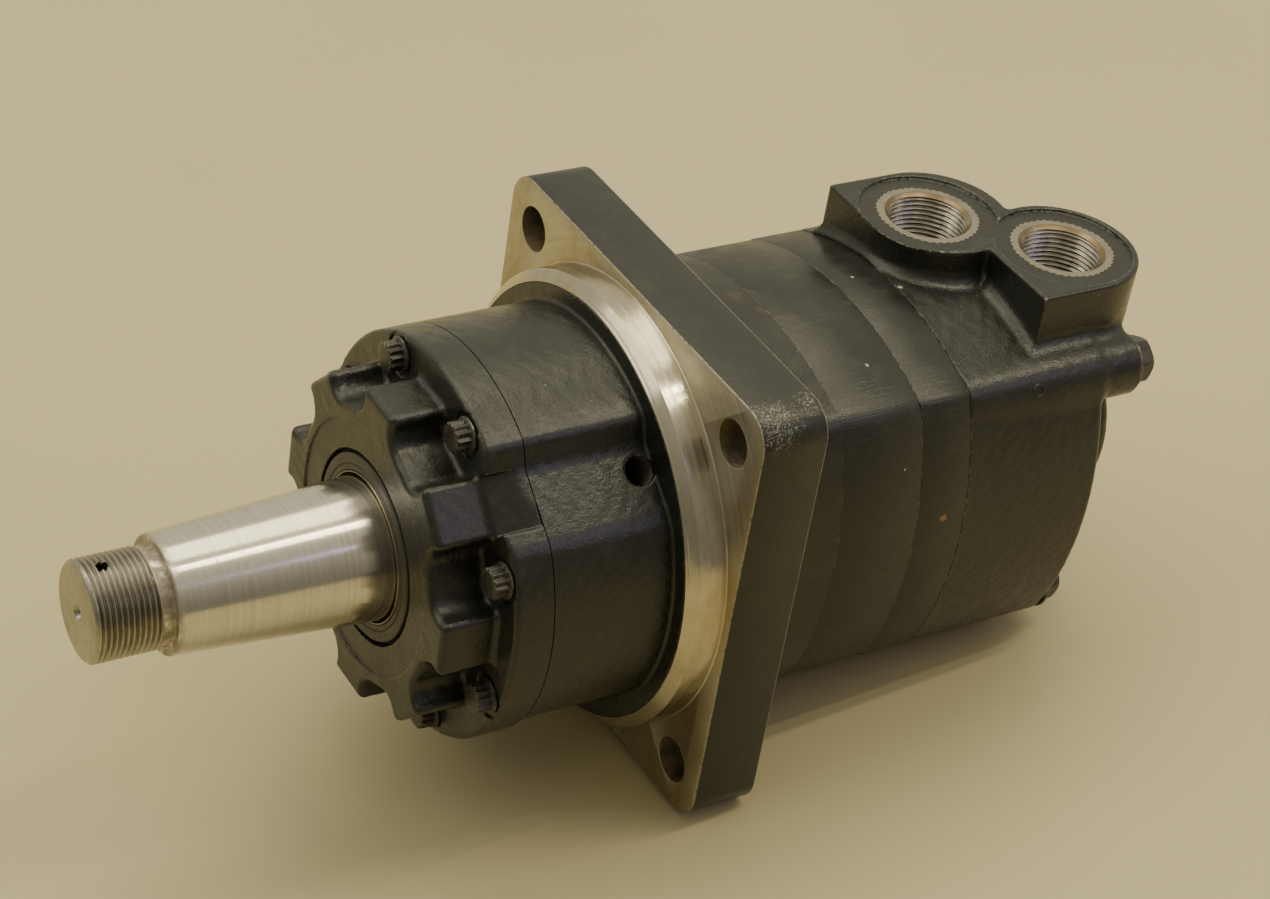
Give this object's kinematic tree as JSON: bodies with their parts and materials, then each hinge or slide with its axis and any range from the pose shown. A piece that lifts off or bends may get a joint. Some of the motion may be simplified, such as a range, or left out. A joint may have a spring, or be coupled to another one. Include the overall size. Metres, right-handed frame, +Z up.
{
  "type": "hydraulic motor",
  "caption": "Wheel-mount orbital hydraulic motor: tapered threaded shaft, castellated seal retainer, square flange with pilot, orbiting rotor stack and valve housing with top ports.",
  "frame": {"origin": "centre of the mounting flange's front bearing face, on the shaft axis (within 2 mm of the middle of the whole part's box)", "axes": "+X along the shaft axis from the output shaft to the rear, so the output shaft points to -X; +Z up, the way the two ports face; +Y completes a right-handed frame"},
  "size_m": [0.4264, 0.185, 0.185],
  "materials": {
    "cast_black_paint": "satin black enamel over cast iron, fine orange-peel, worn light on edges",
    "machined_black_paint": "satin black enamel over machined steel, faint grinding lines",
    "black_bolt": "black enamel over phosphated steel, edges rubbed bright",
    "ground_shaft_steel": "ground taper, fine turned lines, light rust in the thread relief",
    "bearing_steel": "ground and polished",
    "inner_steel": "machined",
    "black_rubber": "matt",
    "bronze": "turned"
  },
  "bodies": {
    "root": {"main_housing": "cast_black_paint", "front_retainer": "cast_black_paint", "dust_seal": "black_rubber", "shaft_seal": "black_rubber", "backup_washer": "inner_steel", "retainer_o_ring": "black_rubber", "front_bearing_cup": "bearing_steel", "rear_bearing_cup": "bearing_steel", "wear_plate": "inner_steel", "housing_seal": "black_rubber", "geroler_ring": "machined_black_paint", "geroler_seal": "black_rubber", "valve_plate": "machined_black_paint", "valve_seal": "black_rubber", "balance_ring": "bronze", "balance_spring": "inner_steel", "valve_housing": "cast_black_paint", "retainer_bolt_1": "black_bolt", "retainer_bolt_2": "black_bolt", "retainer_bolt_3": "black_bolt", "retainer_bolt_4": "black_bolt", "retainer_bolt_5": "black_bolt", "retainer_bolt_6": "black_bolt", "retainer_bolt_7": "black_bolt", "retainer_bolt_8": "black_bolt", "body_bolt_1": "black_bolt", "body_bolt_2": "black_bolt", "body_bolt_3": "black_bolt", "body_bolt_4": "black_bolt"},
    "shaft": {"output_shaft": "ground_shaft_steel", "front_bearing_cone": "bearing_steel", "bearing_spacer": "inner_steel", "rear_bearing_cone": "bearing_steel", "bearing_nut": "inner_steel"},
    "front_roller_set": {"front_bearing_rollers": "bearing_steel"},
    "rear_roller_set": {"rear_bearing_rollers": "bearing_steel"},
    "orbit": {"star_spacer": "inner_steel"},
    "star": {"geroler_star": "bearing_steel"},
    "link": {"drive_link": "inner_steel"},
    "valve_link": {"valve_drive": "inner_steel"},
    "rotary_valve": {"disc_valve": "bearing_steel"},
    "roller_1": {"geroler_roller_1": "bearing_steel"},
    "roller_2": {"geroler_roller_2": "bearing_steel"},
    "roller_3": {"geroler_roller_3": "bearing_steel"},
    "roller_4": {"geroler_roller_4": "bearing_steel"},
    "roller_5": {"geroler_roller_5": "bearing_steel"},
    "roller_6": {"geroler_roller_6": "bearing_steel"},
    "roller_7": {"geroler_roller_7": "bearing_steel"},
    "roller_8": {"geroler_roller_8": "bearing_steel"},
    "roller_9": {"geroler_roller_9": "bearing_steel"}
  },
  "joints": [
    {"name": "shaft_spin", "type": "hinge", "parent": "root", "child": "shaft", "pos_m": [0, 0, 0], "axis": [1, 0, 0], "continuous": true},
    {"name": "front_rollers_spin", "type": "hinge", "parent": "root", "child": "front_roller_set", "pos_m": [-0.049, 0, 0], "axis": [1, 0, 0], "continuous": true},
    {"name": "rear_rollers_spin", "type": "hinge", "parent": "root", "child": "rear_roller_set", "pos_m": [0.008, 0, 0], "axis": [1, 0, 0], "continuous": true},
    {"name": "star_orbit", "type": "hinge", "parent": "root", "child": "orbit", "pos_m": [0.076, 0, 0], "axis": [1, 0, 0], "continuous": true},
    {"name": "star_spin", "type": "hinge", "parent": "orbit", "child": "star", "pos_m": [0.076, 0, 0.003], "axis": [1, 0, 0], "continuous": true},
    {"name": "drive_link_spin", "type": "hinge", "parent": "orbit", "child": "link", "pos_m": [0.006, 0, 0], "axis": [0.9989, 0, 0.0468], "continuous": true},
    {"name": "valve_drive_spin", "type": "hinge", "parent": "orbit", "child": "valve_link", "pos_m": [0.129, 0, 0], "axis": [0.9975, 0, -0.0712], "continuous": true},
    {"name": "disc_valve_spin", "type": "hinge", "parent": "root", "child": "rotary_valve", "pos_m": [0.125, 0, 0], "axis": [1, 0, 0], "continuous": true},
    {"name": "roller_1_spin", "type": "hinge", "parent": "root", "child": "roller_1", "pos_m": [0.076, 0, 0.05], "axis": [1, 0, 0], "continuous": true},
    {"name": "roller_2_spin", "type": "hinge", "parent": "root", "child": "roller_2", "pos_m": [0.076, -0.03214, 0.0383], "axis": [1, 0, 0], "continuous": true},
    {"name": "roller_3_spin", "type": "hinge", "parent": "root", "child": "roller_3", "pos_m": [0.076, -0.04924, 0.00868], "axis": [1, 0, 0], "continuous": true},
    {"name": "roller_4_spin", "type": "hinge", "parent": "root", "child": "roller_4", "pos_m": [0.076, -0.0433, -0.025], "axis": [1, 0, 0], "continuous": true},
    {"name": "roller_5_spin", "type": "hinge", "parent": "root", "child": "roller_5", "pos_m": [0.076, -0.0171, -0.04698], "axis": [1, 0, 0], "continuous": true},
    {"name": "roller_6_spin", "type": "hinge", "parent": "root", "child": "roller_6", "pos_m": [0.076, 0.0171, -0.04698], "axis": [1, 0, 0], "continuous": true},
    {"name": "roller_7_spin", "type": "hinge", "parent": "root", "child": "roller_7", "pos_m": [0.076, 0.0433, -0.025], "axis": [1, 0, 0], "continuous": true},
    {"name": "roller_8_spin", "type": "hinge", "parent": "root", "child": "roller_8", "pos_m": [0.076, 0.04924, 0.00868], "axis": [1, 0, 0], "continuous": true},
    {"name": "roller_9_spin", "type": "hinge", "parent": "root", "child": "roller_9", "pos_m": [0.076, 0.03214, 0.0383], "axis": [1, 0, 0], "continuous": true}
  ],
  "couplings": [
    {"joint": "front_rollers_spin", "follows": "shaft_spin", "ratio": 0.45},
    {"joint": "rear_rollers_spin", "follows": "shaft_spin", "ratio": 0.45},
    {"joint": "star_orbit", "follows": "shaft_spin", "ratio": -8},
    {"joint": "star_spin", "follows": "shaft_spin", "ratio": 9},
    {"joint": "drive_link_spin", "follows": "shaft_spin", "ratio": 9},
    {"joint": "valve_drive_spin", "follows": "shaft_spin", "ratio": 9},
    {"joint": "disc_valve_spin", "follows": "shaft_spin", "ratio": 1},
    {"joint": "roller_1_spin", "follows": "shaft_spin", "ratio": -4.5},
    {"joint": "roller_2_spin", "follows": "shaft_spin", "ratio": -4.5},
    {"joint": "roller_3_spin", "follows": "shaft_spin", "ratio": -4.5},
    {"joint": "roller_4_spin", "follows": "shaft_spin", "ratio": -4.5},
    {"joint": "roller_5_spin", "follows": "shaft_spin", "ratio": -4.5},
    {"joint": "roller_6_spin", "follows": "shaft_spin", "ratio": -4.5},
    {"joint": "roller_7_spin", "follows": "shaft_spin", "ratio": -4.5},
    {"joint": "roller_8_spin", "follows": "shaft_spin", "ratio": -4.5},
    {"joint": "roller_9_spin", "follows": "shaft_spin", "ratio": -4.5}
  ]
}
